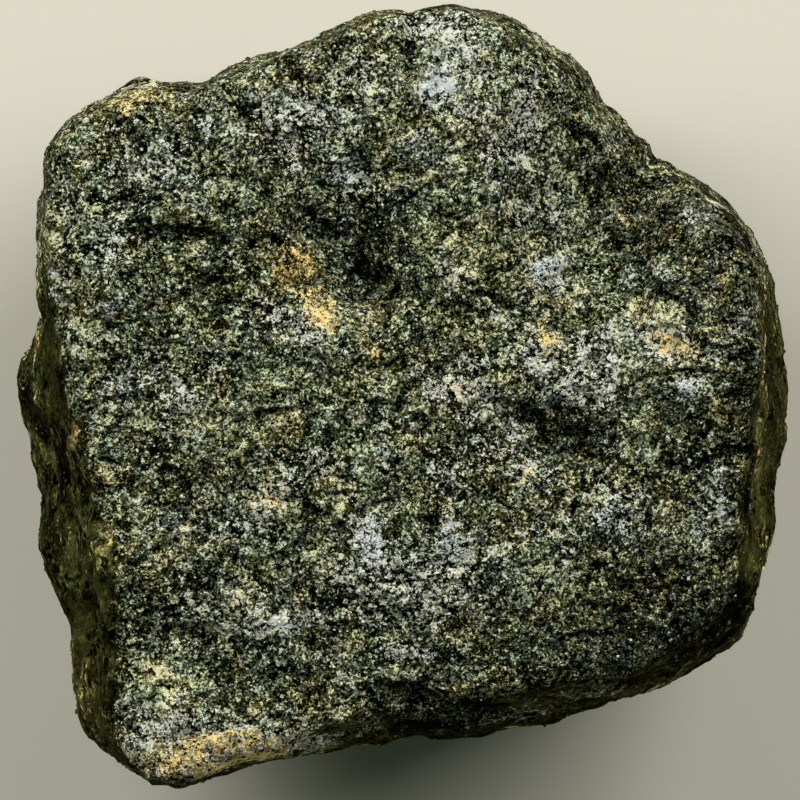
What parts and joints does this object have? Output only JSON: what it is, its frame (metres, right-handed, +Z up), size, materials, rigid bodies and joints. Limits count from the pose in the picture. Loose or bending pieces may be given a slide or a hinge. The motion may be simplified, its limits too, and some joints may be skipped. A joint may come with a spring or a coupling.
{
  "type": "ilmenite mineral specimen",
  "caption": "Blocky broken piece of massive granular ilmenite ore with one broad hackly front face, hollows and ledges, steep broken sides and a small flat resting spot.",
  "frame": {"origin": "on the flat resting spot of the back, under the centre of the bounding box", "axes": "+Z up, out of the broad front face; +X to the right of the front face and +Y to its top edge, as the face is seen from above"},
  "size_m": [0.0774, 0.078, 0.0495],
  "materials": {
    "ilmenite_ore": "dull sub-metallic granular fracture with pale and rusty grains"
  },
  "bodies": {
    "root": {"ilmenite_rock": "ilmenite_ore"}
  },
  "joints": []
}
